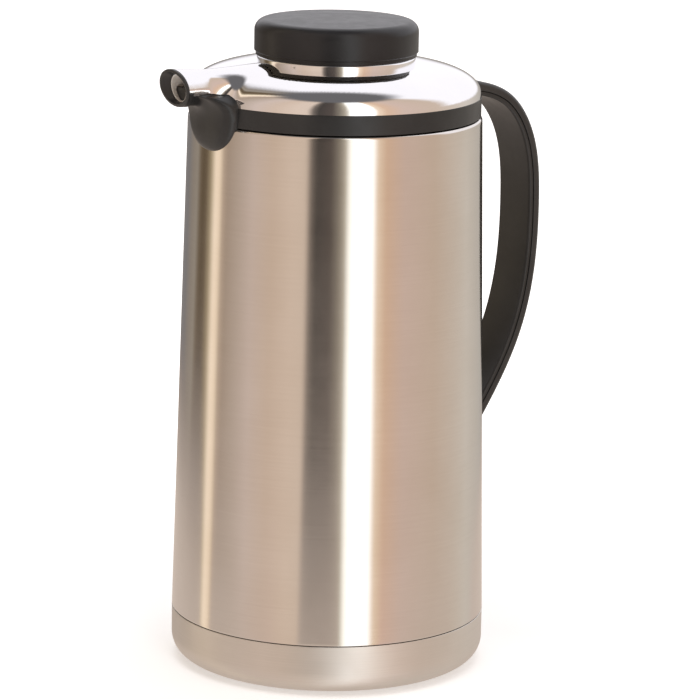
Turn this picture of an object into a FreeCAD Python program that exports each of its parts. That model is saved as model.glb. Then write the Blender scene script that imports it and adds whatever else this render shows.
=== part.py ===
"""Vacuum coffee jug of the 1.9 litre class: a double-walled steel bottle with a chromed pouring shoulder,
a black neck ring with a bib under the spout, a strap handle at the back and a screw stopper.

Frame: millimetres, +Z up, origin on the jug's axis in the plane it stands on. The spout points along -Y and
the handle along +Y. Lengths along the spout or the handle are measured outwards from the jug's axis.
"""
import FreeCAD
import Part
import math
import os

V = FreeCAD.Vector
UP = V(0, 0, 1)

# ---- driving dimensions ----
TOTAL_HEIGHT = 298.0
CLEARANCE = 0.15          # between pieces that are assembled without touching
WALL = 0.6                # drawn steel sheet

# bottle
BODY_R_SEAM = 72.2        # outer radius where the base cup meets the shell
BODY_R_TOP = 66.8
SEAM_Z = 24.0
BODY_TOP_Z = 254.5
DECK_Z = 256.8            # highest part of the shell's shoulder, under the chromed cover
NECK_R = 28.4             # outer radius of the shell's short neck
LIP_Z = 259.2
BASE_CORNER_R = 10.0
BASE_STEEL_Z = 0.8        # the steel stands this far off the table, on the pad
PAD_R = 56.0
PAD_THICK = 3.0
LINER_R = 58.0
LINER_BOTTOM_Z = 16.0
LINER_SHOULDER_Z = 238.0
LINER_NECK_R = 27.6
MOUTH_R = LINER_NECK_R - WALL

# neck ring and chromed shoulder
RING_R = 66.2
RING_Z = (254.9, 263.8)
RING_WALL = 2.0
BIB_R = 20.0
BIB_NARROW = 0.86         # width of the bib's outline for its height
BIB_Z = 262.5
BIB_AXIS = 20.0           # upright axis that the bib's rounded front is turned about
BIB_FRONT = [(48.9, 241.0), (49.9, 246.0), (50.6, 252.0), (51.0, 257.5), (51.8, 261.5), (53.6, 265.0),
             (57.0, 268.2), (61.0, 270.3)]
DOME = [(66.1, 263.85), (65.8, 266.0), (64.6, 268.9), (62.0, 271.8), (57.7, 274.2), (51.5, 276.2),
        (43.3, 277.6), (34.25, 278.2)]
COVER_WALL = 1.2
WEB = 4.0                 # rounding between the dome and the spout's hood
COLLAR_R = 35.9
COLLAR_Z = (277.0, 281.1)

# spout, along -Y
SPOUT_START = (33.0, 268.2)
SPOUT_END = (86.2, 272.1)
FLARE = 3.6               # each side of the mouth stands this much wider than the round tube
FLARE_RUN = 14.0
FUNNEL = 4.4              # the cone that opens the bore starts this far inside the mouth
HOOD_R = 8.4
LINER_TUBE_R = 7.0
LINER_TUBE_BORE_R = 5.6
SLEEVE_WALL = 0.5
MOUTH_LEAN = 9.0         # degrees that the mouth's top stands further out than its bottom

# neck insert
INSERT_BORE_R = 32.4
INSERT_R = 34.1
INSERT_Z = (260.6, 286.0)
CHAMBER_FLOOR_Z = 263.0
SEAT_R = (25.4, 27.8)

# stopper
CAP_R = 37.2
CAP_Z = 281.4
CAP_CORNER_R = 5.0
PLUG_R = 31.0
THREAD_LEAD = 12.0
THREAD_STARTS = 3
THREAD_TURN = 0.45        # part of a turn that each start covers
THREAD_DEPTH = 1.0
THREAD_BASE = 1.7
THREAD_TIP = 0.9
THREAD_Z = 278.2          # lowest centre of the fixed threads

# handle, along +Y
HANDLE_WIDTH = 25.0
HANDLE_THICK = 6.4
COVER_THICK = 2.2
CHANNEL_WALL = 2.0
SPINE = [(66.6, 266.6), (79.2, 264.0), (91.4, 258.1), (99.6, 249.0), (105.8, 235.0), (108.9, 207.0),
         (107.2, 174.0), (99.4, 143.3), (85.1, 115.9), (70.0, 93.0)]
ROOT_Z = (257.8, 264.6)
TOP_SCREW_Z = 261.2
FOOT_Z = 102.5


# ---- helpers ----
def rounded_wire(corners, place):
    """Closed wire through (a, b) or (a, b, radius) corners; place turns (a, b) into a point."""
    n = len(corners)
    stops = []
    for i, corner in enumerate(corners):
        here = V(corner[0], corner[1], 0)
        radius = corner[2] if len(corner) > 2 else 0
        if not radius:
            stops.append((here, None, here))
            continue
        before = V(*corners[i - 1][:2], 0) - here
        after = V(*corners[(i + 1) % n][:2], 0) - here
        before.normalize()
        after.normalize()
        half = before.getAngle(after) / 2
        reach = radius / math.tan(half)
        middle = before + after
        middle.normalize()
        centre = here + middle * (radius / math.sin(half))
        stops.append((here + before * reach, centre - middle * radius, here + after * reach))
    edges = []
    for i, (start, mid, end) in enumerate(stops):
        if mid is not None:
            edges.append(Part.Arc(place(start), place(mid), place(end)).toShape())
        following = stops[(i + 1) % n][0]
        if (following - end).Length > 1e-6:
            edges.append(Part.makeLine(place(end), place(following)))
    return Part.Wire(edges)


def turned(corners):
    """Solid of revolution about the jug's axis, from (radius, height[, corner radius]) corners."""
    wire = rounded_wire(corners, lambda p: V(p.x, 0, p.y))
    return Part.Face(wire).revolve(V(0, 0, 0), UP, 360)


def ring(r_in, r_out, z_low, z_high, corner=0.0):
    return turned([(r_in, z_low, corner), (r_out, z_low, corner),
                   (r_out, z_high, corner), (r_in, z_high, corner)])


def rod(start, direction, radius, length):
    return Part.makeCylinder(radius, length, start, direction)


def body_radius(z):
    """Outer radius of the tapering shell at a height."""
    return BODY_R_SEAM + (BODY_R_TOP - BODY_R_SEAM) * (z - SEAM_Z) / (BODY_TOP_Z - SEAM_Z)


def body_envelope(gap):
    """Solid cone of the shell's outside, grown by a gap."""
    top = BODY_TOP_Z + gap
    return turned([(0, SEAM_Z), (body_radius(SEAM_Z) + gap, SEAM_Z), (body_radius(top) + gap, top), (0, top)])


def spout_axis():
    start = V(0, -SPOUT_START[0], SPOUT_START[1])
    end = V(0, -SPOUT_END[0], SPOUT_END[1])
    along = end - start
    length = along.Length
    along.normalize()
    return start, along, length


def spout_rod(radius, from_s=0.0, beyond=0.0):
    """Rod on the spout's axis, from from_s past its inner end to beyond its mouth."""
    start, along, length = spout_axis()
    return rod(start + along * from_s, along, radius, length - from_s + beyond)


def spout_section(distance, half_width, half_height):
    """Upright oval across the spout's axis at a distance from its inner end."""
    start, along, _ = spout_axis()
    if half_width >= half_height:
        oval = Part.Ellipse(V(0, 0, 0), half_width + 1e-4, half_height)
    else:
        oval = Part.Ellipse(V(0, 0, 0), half_height + 1e-4, half_width)
    wire = Part.Wire([oval.toShape()])
    frame = FreeCAD.Rotation(V(1, 0, 0), along.cross(V(-1, 0, 0)), along, "XZY")
    wire.Placement = FreeCAD.Placement(start + along * distance, frame)
    return wire


def spout_form(grow, from_s=0.0, beyond=0.0):
    """Solid on the spout's axis: round at first, then wider and wider towards the mouth."""
    _, _, length = spout_axis()
    r = HOOD_R + grow
    flat = length - FLARE_RUN
    end = length + beyond
    wide = r + FLARE * (end - flat) / FLARE_RUN
    straight = Part.makeLoft([spout_section(from_s, r, r), spout_section(flat, r, r)], True, True)
    flared = Part.makeLoft([spout_section(flat, r, r), spout_section(end, wide, r)], True, True)
    return straight.fuse(flared)


def funnel():
    """Cone that opens the bore towards the mouth, leaning as the mouth does."""
    start, along, length = spout_axis()
    r = LINER_TUBE_BORE_R
    cone = Part.makeLoft([spout_section(length - FUNNEL, r - 0.7, r - 0.7),
                          spout_section(length + 2.0, r + 7.3, r + 2.2)], True, True)
    cone.rotate(start + along * length, V(1, 0, 0), -MOUTH_LEAN - math.degrees(math.asin(along.z)))
    return cone


def beyond_mouth():
    """Block that fills everything past the leaning face of the mouth."""
    start, along, length = spout_axis()
    block = Part.makeBox(80, 40, 80, V(-40, -40, -40))
    block.rotate(V(0, 0, 0), V(1, 0, 0), -MOUTH_LEAN)
    block.translate(start + along * length)
    return block


def thread(radius, outward, z_start, turn_start):
    """The three threads on a cylinder of that radius, standing outward (1) or inward (-1)."""
    solids = []
    root = radius - outward * 0.4
    tip = radius + outward * THREAD_DEPTH
    for k in range(THREAD_STARTS):
        helix = Part.makeHelix(THREAD_LEAD, THREAD_LEAD * THREAD_TURN, radius)
        base = THREAD_BASE / 2
        crest = THREAD_TIP / 2
        section = Part.makePolygon([V(root, 0, -base), V(tip, 0, -crest), V(tip, 0, crest),
                                    V(root, 0, base), V(root, 0, -base)])
        sweep = Part.Wire(helix.Edges).makePipeShell([section], True, True)
        sweep.rotate(V(0, 0, 0), UP, 360.0 * (turn_start + k / THREAD_STARTS))
        sweep.translate(V(0, 0, z_start))
        solids.append(sweep)
    return solids


# ---- bottle ----
def outer_shell():
    top_in = BODY_R_TOP - WALL
    low_in = BODY_R_SEAM - WALL
    return turned([
        (BODY_R_SEAM, SEAM_Z + 0.35, 0.2), (BODY_R_TOP, BODY_TOP_Z, 1.6), (57.0, BODY_TOP_Z, 3.0),
        (50.0, DECK_Z, 3.0), (NECK_R, DECK_Z, 0.8), (NECK_R, LIP_Z - WALL - 0.02),
        (NECK_R - WALL + 0.02, LIP_Z - WALL - 0.02), (NECK_R - WALL + 0.02, DECK_Z - WALL, 0.8),
        (50.2, DECK_Z - WALL, 2.4), (57.2, BODY_TOP_Z - WALL, 2.4), (top_in, BODY_TOP_Z - WALL, 1.0),
        (low_in, SEAM_Z + 0.35)])


def base_cup():
    r = BODY_R_SEAM
    z = BASE_STEEL_Z
    lip = r - WALL - 0.2
    pocket = PAD_R + 0.4
    roof = PAD_THICK + 0.02
    dimple = 9.0
    dimple_z = roof + 3.0
    return turned([
        (0, dimple_z), (dimple, dimple_z, 0.8), (dimple, roof, 0.8), (pocket, roof, 0.8), (pocket, z, 0.8),
        (r, z, BASE_CORNER_R), (r, SEAM_Z, 0.2), (lip, SEAM_Z), (lip, SEAM_Z + 4.0),
        (lip - WALL, SEAM_Z + 4.0), (lip - WALL, SEAM_Z - 0.8, 0.5), (r - WALL, SEAM_Z - 1.4, 0.3),
        (r - WALL, z + WALL, BASE_CORNER_R - WALL), (pocket + WALL, z + WALL, 0.3),
        (pocket + WALL, roof + WALL, 0.8), (dimple + WALL, roof + WALL, 0.3),
        (dimple + WALL, dimple_z + WALL, 0.8), (0, dimple_z + WALL)])


def inner_liner():
    r = LINER_R
    low = LINER_BOTTOM_Z
    neck = LINER_NECK_R
    top = LIP_Z
    shoulder = LINER_SHOULDER_Z + 13.5
    return turned([
        (0, low), (r, low, 14.0), (r, shoulder, 16.0), (neck, shoulder + 2.0, 3.0), (neck, top - WALL),
        (NECK_R, top - WALL), (NECK_R, top, 0.3), (neck - WALL, top, 0.5),
        (neck - WALL, shoulder + 2.0 - WALL, 3.6), (r - WALL, shoulder - WALL, 15.4),
        (r - WALL, low + WALL, 13.4), (0, low + WALL)])


def copper_wrap():
    return ring(LINER_R + 0.6, LINER_R + 0.85, 34.0, 226.0)


def getter_capsule():
    place = V(26.0, 0, LINER_BOTTOM_Z - 2.6)
    cup = Part.makeCylinder(4.5, 2.58, place)
    return cup.cut(Part.makeCylinder(3.7, 1.2, place))


def evacuation_seal():
    return turned([(0, PAD_THICK + 0.8), (6.5, PAD_THICK + 0.8, 0.6), (6.5, PAD_THICK + 3.0),
                   (0, PAD_THICK + 3.0)])


def base_pad():
    return turned([(0, 0), (PAD_R, 0, 0.6), (PAD_R, PAD_THICK, 0.3), (0, PAD_THICK)])


# ---- neck ring, chromed shoulder and spout ----
def bib_outline(grow=0.0):
    """Front outline of the bib: a round tongue that narrows again up to the spout."""
    r = BIB_R + grow
    top = RING_Z[1]
    half = math.sqrt(r * r - (top - BIB_Z) ** 2)
    neck = (HOOD_R - 0.4 + grow) / BIB_NARROW
    neck_z = 270.0 + 1.5 * grow
    place = lambda x, z: V(x, 0, z)
    edges = [
        Part.Arc(place(half, top), place(0, BIB_Z - r), place(-half, top)).toShape(),
        Part.Arc(place(-half, top), place(-18.2 - grow, 267.4), place(-neck, neck_z)).toShape(),
        Part.makeLine(place(-neck, neck_z), place(neck, neck_z)),
        Part.Arc(place(neck, neck_z), place(18.2 + grow, 267.4), place(half, top)).toShape()]
    squeeze = FreeCAD.Matrix()
    squeeze.scale(BIB_NARROW, 1, 1)
    return Part.Face(Part.Wire(edges)).transformGeometry(squeeze)


def bib_front():
    """Rounded front of the bib, which sweeps out to the underside of the spout."""
    curve = Part.BSplineCurve()
    curve.interpolate([V(r, 0, z) for r, z in BIB_FRONT])
    (_, low), (_, high) = BIB_FRONT[0], BIB_FRONT[-1]
    outline = Part.Wire([
        curve.toShape(), Part.makeLine(V(BIB_FRONT[-1][0], 0, high), V(0, 0, high)),
        Part.makeLine(V(0, 0, high), V(0, 0, low)), Part.makeLine(V(0, 0, low), V(BIB_FRONT[0][0], 0, low))])
    front = Part.Face(outline).revolve(V(0, 0, 0), UP, 360)
    front.translate(V(0, -BIB_AXIS, 0))
    return front


def bib():
    prism = bib_outline().extrude(V(0, -100, 0))
    prism = prism.cut(Part.makeBox(80, 80, 80, V(-40, -BODY_R_TOP + 14.0, 220)))
    return prism.common(bib_front())


def neck_ring():
    low, high = RING_Z
    wall = turned([
        (RING_R, low, 0.3), (RING_R, high, 0.3), (RING_R - 1.5, high), (RING_R - 1.5, high + 1.9, 0.4),
        (RING_R - 3.2, high + 1.9, 0.4), (RING_R - 3.2, low + 2.2, 0.6), (60.0, low + 2.2, 0.5), (60.0, low)])
    tongue = bib().cut(body_envelope(CLEARANCE))
    tongue = tongue.cut(turned([(0, 200), (RING_R - 3.2, 200), (RING_R - 3.2, 300), (0, 300)]))
    shape = wall.fuse(tongue).removeSplitter()
    shape = shape.cut(spout_form(LINER_TUBE_R - HOOD_R + 0.03, -2.0, 6.0))
    hole = rod(V(0, RING_R - 8, TOP_SCREW_Z), V(0, 1, 0), 1.65, 12)
    return shape.cut(hole)


def dome_solid(drop):
    """Everything under the chromed dome, moved inwards by drop."""
    skin = Part.BSplineCurve()
    skin.interpolate([V(r, 0, z) for r, z in DOME])
    inner = []
    for r, z in DOME:
        along = skin.tangent(skin.parameter(V(r, 0, z)))[0]
        inner.append(V(r, 0, z) + along.cross(V(0, 1, 0)) * drop)
    curve = Part.BSplineCurve()
    curve.interpolate(inner)
    first, last = inner[0], inner[-1]
    floor = V(first.x, 0, RING_Z[0])
    outline = Part.Wire([
        curve.toShape(), Part.makeLine(last, V(0, 0, last.z)), Part.makeLine(V(0, 0, last.z), V(0, 0, floor.z)),
        Part.makeLine(V(0, 0, floor.z), floor), Part.makeLine(floor, first)])
    return Part.Face(outline).revolve(V(0, 0, 0), UP, 360)


def shoulder_cover():
    outside = dome_solid(0.0)
    inside = dome_solid(COVER_WALL)
    hood = spout_form(0.0, 4.0, 12.0).cut(beyond_mouth())
    cut_z = Part.makeBox(60, 60, 40, V(-30, -100, 0))
    start, along, length = spout_axis()
    lean = math.degrees(math.asin(along.z))
    cut_z.translate(V(0, 0, -40))
    cut_z.rotate(V(0, 0, 0), V(1, 0, 0), -lean)
    cut_z.translate(start + V(0, 0, -1.2))
    solid = outside.fuse(hood)
    joint = [e for e in solid.Edges if 55 < -e.BoundBox.Center.y < 71 and e.BoundBox.ZMax > 272
             and e.BoundBox.ZLength > 0.5 and e.BoundBox.XLength > 3 and e.Length < 60]
    solid = solid.makeFillet(WEB, joint) if joint else solid
    solid = solid.cut(inside.fuse(spout_form(-COVER_WALL, -2.0, 14.0)))
    skirt = Part.makeBox(200, 200, 60, V(-100, -100, RING_Z[1] + 0.05 - 60))
    solid = solid.cut(skirt).cut(cut_z.common(Part.makeBox(60, 60, 60, V(-30, -126.0, 230))))
    bib_hole = bib_outline(CLEARANCE).extrude(V(0, -100, 0))
    solid = solid.cut(bib_hole.cut(turned([(0, 200), (50, 200), (50, 300), (0, 300)])))
    solid = solid.cut(turned([(0, 240), (INSERT_R + CLEARANCE, 240), (INSERT_R + CLEARANCE, 300), (0, 300)]))
    seat = turned([(0, COLLAR_Z[0]), (COLLAR_R + 0.1, COLLAR_Z[0]), (COLLAR_R + 0.1, 300), (0, 300)])
    return max(solid.cut(seat).Solids, key=lambda s: s.Volume)


def collar_trim():
    return ring(INSERT_R + 0.05, COLLAR_R, *COLLAR_Z, corner=0.5)


def spout_liner():
    _, _, length = spout_axis()
    tube = spout_form(LINER_TUBE_R - HOOD_R, 0.0, 12.0)
    bead = spout_form(-0.1, 0.0, 12.0).common(spout_rod(30, length - 4.6, 16.0)).cut(shoulder_shadow())
    shape = tube.fuse(bead).cut(spout_rod(LINER_TUBE_BORE_R, -1.0, 14.0)).cut(funnel()).cut(beyond_mouth())
    return max(shape.Solids, key=lambda s: s.Volume)


def shoulder_shadow():
    """Everything above the lower edges of the spout's hood, where the bead is cut away."""
    start, along, length = spout_axis()
    lean = math.degrees(math.asin(along.z))
    block = Part.makeBox(60, 130, 60, V(-30, -110, 0))
    block.rotate(V(0, 0, 0), V(1, 0, 0), -lean)
    block.translate(start + V(0, 0, -1.2 - CLEARANCE))
    return block


def spout_sleeve():
    start, along, length = spout_axis()
    outer = rod(start + along * 0.5, along, LINER_TUBE_BORE_R - 0.02, length)
    inner = rod(start, along, LINER_TUBE_BORE_R - 0.02 - SLEEVE_WALL, length + 5)
    front = beyond_mouth()
    front.translate(along * -4.2)
    return outer.cut(inner).cut(front)


def spout_gasket():
    start, along, length = spout_axis()
    outer = rod(start + along * 2.2, along, LINER_TUBE_R + 1.3, 1.9)
    return outer.cut(rod(start, along, LINER_TUBE_R + 0.02, 8))


# ---- neck insert ----
def mouth_gasket():
    return ring(MOUTH_R - 0.2, NECK_R + 1.2, LIP_Z + 0.02, INSERT_Z[0] - 0.02, 0.3)


def neck_insert():
    low, high = INSERT_Z
    shape = turned([
        (SEAT_R[0], low), (NECK_R + 1.6, low), (NECK_R + 1.6, DECK_Z + 1.2), (INSERT_R, DECK_Z + 1.2, 0.5),
        (INSERT_R, high, 0.4), (INSERT_BORE_R, high, 0.4), (INSERT_BORE_R, CHAMBER_FLOOR_Z, 1.0),
        (SEAT_R[1], CHAMBER_FLOOR_Z), (SEAT_R[0], low + 0.3)])
    shape = shape.fuse(thread(INSERT_BORE_R, -1, THREAD_Z, 0.0))
    return shape.cut(spout_rod(LINER_TUBE_R + 0.03, -6.0))


# ---- stopper ----
def stopper_cap():
    r = CAP_R
    top = TOTAL_HEIGHT
    crown = 0.7
    outer = turned([(0, CAP_Z), (r - 0.7, CAP_Z, 0.3), (r - 0.7, CAP_Z + 1.7), (r, CAP_Z + 2.0, 0.3),
                    (r, top - crown, CAP_CORNER_R), (r * 0.45, top, 60.0), (0, top)])
    inner = turned([(0, CAP_Z - 1), (r - 2.3, CAP_Z - 1), (r - 2.3, top - 3.0, 3.0), (0, top - 3.0)])
    shape = outer.cut(inner)
    bosses = [rod(p, UP, 2.6, top - 2.6 - p.z).cut(rod(p, UP, 1.1, 4.2)) for p in screw_points(291.1)]
    return shape.fuse(bosses).removeSplitter()


def screw_points(z):
    return [V(20 * math.cos(a), 20 * math.sin(a), z) for a in (math.radians(90 + 120 * k) for k in range(3))]


def stopper_top_plate():
    shape = turned([(0, 289.05), (34.4, 289.05, 0.3), (34.4, 291.05, 0.3), (0, 291.05)])
    for p in screw_points(288.0):
        shape = shape.cut(rod(p, UP, 1.3, 4))
    return shape


def stopper_screws():
    screws = []
    for p in screw_points(287.5):
        head = rod(p, UP, 2.3, 1.5)
        head = head.cut(Part.makeBox(3.0, 0.6, 0.6, p + V(-1.5, -0.3, 0)))
        screws.append(head.fuse(rod(p + V(0, 0, 1.4), UP, 1.08, 5.6)).removeSplitter())
    return Part.makeCompound(screws)


def stopper_body():
    shape = turned([
        (21.0, 272.6), (22.0, 272.6), (PLUG_R, 276.2, 1.5), (PLUG_R, 287.1), (34.6, 287.1, 0.3), (34.6, 289.0, 0.3),
        (28.6, 289.0), (28.6, 278.2, 1.0), (21.0, 274.9)])
    return shape.fuse(thread(PLUG_R, 1, THREAD_Z + THREAD_LEAD / THREAD_STARTS / 2, 0.0))


def stopper_bowl():
    """Lower end of the plug, welded into it by a narrow spigot."""
    shape = turned([
        (0, 263.7), (22.0, 263.7, 0.8), (22.0, 272.55), (20.95, 272.55), (20.95, 275.2), (19.8, 275.2),
        (19.8, 265.7, 0.8), (6.5, 265.7), (6.5, 272.0, 0.5), (0, 272.0)])
    return shape.cut(rod(V(0, 0, 262), UP, 2.02, 9))


def stopper_foam():
    shape = turned([
        (6.7, 265.9), (19.3, 265.9), (19.3, 275.2), (28.0, 279.2), (28.0, 288.8), (0, 288.8), (0, 272.2),
        (6.7, 272.2)])
    for p in screw_points(287.0):
        shape = shape.cut(rod(p, UP, 2.6, 4))
    return shape


def flange_seal():
    return ring(32.7, 33.9, 286.1, 287.05)


def seal_carrier():
    shape = turned([(3.06, 258.3), (24.4, 258.3, 0.5), (24.4, 260.4, 0.5), (9.0, 260.4),
                    (9.0, 263.4, 0.4), (3.06, 263.4)])
    return shape


def stopper_seal():
    return turned([(9.1, 260.45), (24.7, 260.45, 0.3), (27.45, 262.97, 0.3), (27.45, 263.35, 0.15),
                   (23.4, 263.35, 0.3), (21.6, 261.9, 0.4), (9.1, 261.9)])


def pivot_screw():
    head = turned([(0, 255.9), (6.2, 255.9, 0.6), (6.2, 258.0, 0.4), (0, 258.0)])
    head = head.cut(Part.makeBox(8, 1.0, 0.9, V(-4, -0.5, 255.8)))
    shape = head.fuse(turned([(0, 257.5), (3.0, 257.5), (3.0, 263.6), (2.0, 263.6), (2.0, 270.5, 0.4), (0, 270.5)]))
    return shape.removeSplitter()


# ---- handle ----
def strap_curve(inset):
    """Smooth curve in the plane of the handle, inset from the back of the strap."""
    back = Part.BSplineCurve()
    back.interpolate([V(0, y, z) for y, z in SPINE])
    points = []
    for y, z in SPINE:
        at = back.parameter(V(0, y, z))
        along = back.tangent(at)[0]
        points.append(V(0, y, z) + along.cross(V(1, 0, 0)) * inset)
    curve = Part.BSplineCurve()
    curve.interpolate(points)
    return curve


def strap(outer_inset, inner_inset, width, shorten=0.0):
    outer = strap_curve(outer_inset)
    inner = strap_curve(inner_inset)
    first = outer.FirstParameter + shorten * (outer.LastParameter - outer.FirstParameter)
    last = outer.LastParameter - shorten * (outer.LastParameter - outer.FirstParameter)
    first_in = inner.FirstParameter + shorten * (inner.LastParameter - inner.FirstParameter)
    last_in = inner.LastParameter - shorten * (inner.LastParameter - inner.FirstParameter)
    a = outer.toShape(first, last)
    b = inner.toShape(first_in, last_in)
    face = Part.Face(Part.Wire([
        a, Part.makeLine(outer.value(last), inner.value(last_in)), b,
        Part.makeLine(inner.value(first_in), outer.value(first))]))
    face.translate(V(-width / 2, 0, 0))
    return face.extrude(V(width, 0, 0))


def long_edges(shape, outside):
    """Edges that run the length of a strap; outside picks those on its back, else those on its inner face."""
    runs = [e for e in shape.Edges if e.Length > 120 and e.BoundBox.XLength < 0.1]
    runs.sort(key=lambda e: e.BoundBox.YMax)
    return runs[-2:] if outside else runs[:2]


def handle_parts():
    solid = strap(0.0, HANDLE_THICK - COVER_THICK, HANDLE_WIDTH)
    solid = solid.makeFillet(2.4, long_edges(solid, True))
    cover = strap(HANDLE_THICK - COVER_THICK + 0.02, HANDLE_THICK, HANDLE_WIDTH)
    cover = cover.makeFillet(1.2, long_edges(cover, False))
    channel = strap(CHANNEL_WALL, HANDLE_THICK - COVER_THICK + 1, HANDLE_WIDTH - 2 * CHANNEL_WALL, 0.14)
    solid = solid.cut(channel)
    away = body_envelope(CLEARANCE).fuse(Part.makeCylinder(RING_R + CLEARANCE, 45, V(0, 0, BODY_TOP_Z - 2)))
    root = Part.makeBox(18, 13.5, ROOT_Z[1] - ROOT_Z[0], V(-9, 60, ROOT_Z[0]))
    solid = solid.fuse(root).removeSplitter().cut(away)
    cover = cover.cut(root).cut(away)
    mount = bracket_blank(CLEARANCE)
    solid = solid.cut(mount)
    cover = cover.cut(mount)
    screw_y = RING_R - 6
    solid = solid.cut(rod(V(0, screw_y, TOP_SCREW_Z), V(0, 1, 0), 2.12, 72.6 - screw_y))
    solid = max(solid.Solids, key=lambda s: s.Volume)
    cover = max(cover.Solids, key=lambda s: s.Volume)
    return solid, cover


def bracket_blank(grow=0.0):
    """Plate on the shell with a T-shaped tongue that the foot of the handle slides down over."""
    wall = body_radius(FOOT_Z)
    low, tall = FOOT_Z - 3.5, 7.0

    def slab(half, y_end):
        return Part.makeBox(2 * (half + grow), y_end - wall + 3 + grow, tall + grow * 9,
                            V(-half - grow, wall - 3, low - grow * 8))
    plate = ring(wall - 3, wall + 0.9 + grow, low - grow * 8, low + tall + grow).common(slab(8.0, wall + 9))
    head = slab(5.0, wall + 3.2).cut(Part.makeBox(40, wall + 1.9 - grow, 40, V(-20, 0, low - 10)))
    return plate.fuse([slab(3.0, wall + 2.5), head])


def handle_bracket():
    return bracket_blank().cut(body_envelope(0.02)).removeSplitter()


def pan_screw(start, direction, head_r, head_h, shank_r, shank_len):
    """Pan-head screw with a cross recess; start is the centre of the head's outer face."""
    head = rod(start, direction, head_r, head_h)
    head = head.makeFillet(0.4, [e for e in head.Edges if e.BoundBox.Center.distanceToPoint(start) < 0.2])
    shape = head.fuse(rod(start + direction * (head_h - 0.1), direction, shank_r, shank_len + 0.1))
    for size in ((2.6, 0.6), (0.6, 2.6)):
        slot = Part.makeBox(size[0], 1.6, size[1], V(-size[0] / 2, -0.8, -size[1] / 2))
        slot.translate(start)
        shape = shape.cut(slot)
    return shape.removeSplitter()


def handle_top_screw():
    return pan_screw(V(0, 60.9, TOP_SCREW_Z), V(0, 1, 0), 2.7, 2.0, 1.25, 9.0)


def handle_top_insert():
    start = V(0, 67.0, TOP_SCREW_Z)
    return rod(start, V(0, 1, 0), 2.1, 5.5).cut(rod(start, V(0, 1, 0), 1.27, 5.2))


# ---- write one STEP per piece ----
def main():
    os.makedirs("parts", exist_ok=True)
    shell, cover = handle_parts()
    pieces = {
        "outer_shell": outer_shell(), "base_cup": base_cup(), "inner_liner": inner_liner(),
        "copper_wrap": copper_wrap(), "getter_capsule": getter_capsule(), "evacuation_seal": evacuation_seal(),
        "base_pad": base_pad(), "neck_ring": neck_ring(), "shoulder_cover": shoulder_cover(),
        "collar_trim": collar_trim(), "spout_liner": spout_liner(), "spout_sleeve": spout_sleeve(),
        "spout_gasket": spout_gasket(), "mouth_gasket": mouth_gasket(), "neck_insert": neck_insert(),
        "stopper_cap": stopper_cap(), "stopper_top_plate": stopper_top_plate(),
        "stopper_screws": stopper_screws(), "stopper_body": stopper_body(), "stopper_bowl": stopper_bowl(),
        "stopper_foam": stopper_foam(), "flange_seal": flange_seal(), "seal_carrier": seal_carrier(),
        "stopper_seal": stopper_seal(), "pivot_screw": pivot_screw(), "handle_shell": shell, "handle_cover": cover,
        "handle_bracket": handle_bracket(), "handle_top_screw": handle_top_screw(),
        "handle_top_insert": handle_top_insert()}
    for name, shape in pieces.items():
        shape.exportStep(f"parts/{name}.step")
        box = shape.BoundBox
        print(f"{name:18s} solids {len(shape.Solids)} valid {shape.isValid()} volume {shape.Volume:10.1f} "
              f"z {box.ZMin:.2f}..{box.ZMax:.2f} y {box.YMin:.2f}..{box.YMax:.2f}")


main()
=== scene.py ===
import math

import bmesh
import bpy
import numpy as np
from mathutils import Matrix, Vector


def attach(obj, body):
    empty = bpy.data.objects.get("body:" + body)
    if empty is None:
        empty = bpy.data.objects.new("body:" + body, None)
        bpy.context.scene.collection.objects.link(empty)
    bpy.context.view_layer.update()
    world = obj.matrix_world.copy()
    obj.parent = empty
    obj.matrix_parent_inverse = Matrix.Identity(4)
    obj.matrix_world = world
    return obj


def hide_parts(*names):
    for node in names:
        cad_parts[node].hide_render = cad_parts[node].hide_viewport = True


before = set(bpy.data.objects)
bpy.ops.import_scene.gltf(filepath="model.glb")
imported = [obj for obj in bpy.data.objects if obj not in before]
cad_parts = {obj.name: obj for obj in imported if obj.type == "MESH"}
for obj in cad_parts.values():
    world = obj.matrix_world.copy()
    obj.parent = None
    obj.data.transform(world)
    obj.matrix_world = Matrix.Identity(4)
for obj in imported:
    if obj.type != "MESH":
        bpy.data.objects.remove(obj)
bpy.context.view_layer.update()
print("frame loaded:", len(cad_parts), "nodes")

mm = 0.001  # pieces are sized in millimetres; bump depths, floor, panel and camera in metres


# small helpers
def newNode(tree, kind, **settings):
    node = tree.nodes.new(kind)
    for key, value in settings.items():
        setattr(node, key, value)
    return node


def setInputs(node, **values):
    for key, value in values.items():
        node.inputs[key].default_value = value


def feedInput(tree, socket, feed):
    # a socket is linked, anything else is set as the value
    if isinstance(feed, bpy.types.NodeSocket):
        tree.links.new(feed, socket)
    else:
        socket.default_value = feed


def mathNode(tree, operation, *feeds):
    node = newNode(tree, "ShaderNodeMath", operation=operation)
    for socket, feed in zip(node.inputs, feeds):
        feedInput(tree, socket, feed)
    return node.outputs[0]


def rangeNode(tree, value, fromRange, toRange=(0.0, 1.0), interpolation="LINEAR"):
    node = newNode(tree, "ShaderNodeMapRange", interpolation_type=interpolation)
    setInputs(node, **{"From Min": fromRange[0], "From Max": fromRange[1],
                       "To Min": toRange[0], "To Max": toRange[1]})
    tree.links.new(value, node.inputs["Value"])
    return node.outputs[0]


def mixNode(tree, factor, first, second, blend="MIX"):
    node = newNode(tree, "ShaderNodeMix", data_type="RGBA", blend_type=blend)
    for index, feed in ((0, factor), (6, first), (7, second)):
        feedInput(tree, node.inputs[index], (*feed, 1) if isinstance(feed, tuple) else feed)
    return node.outputs[2]


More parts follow.
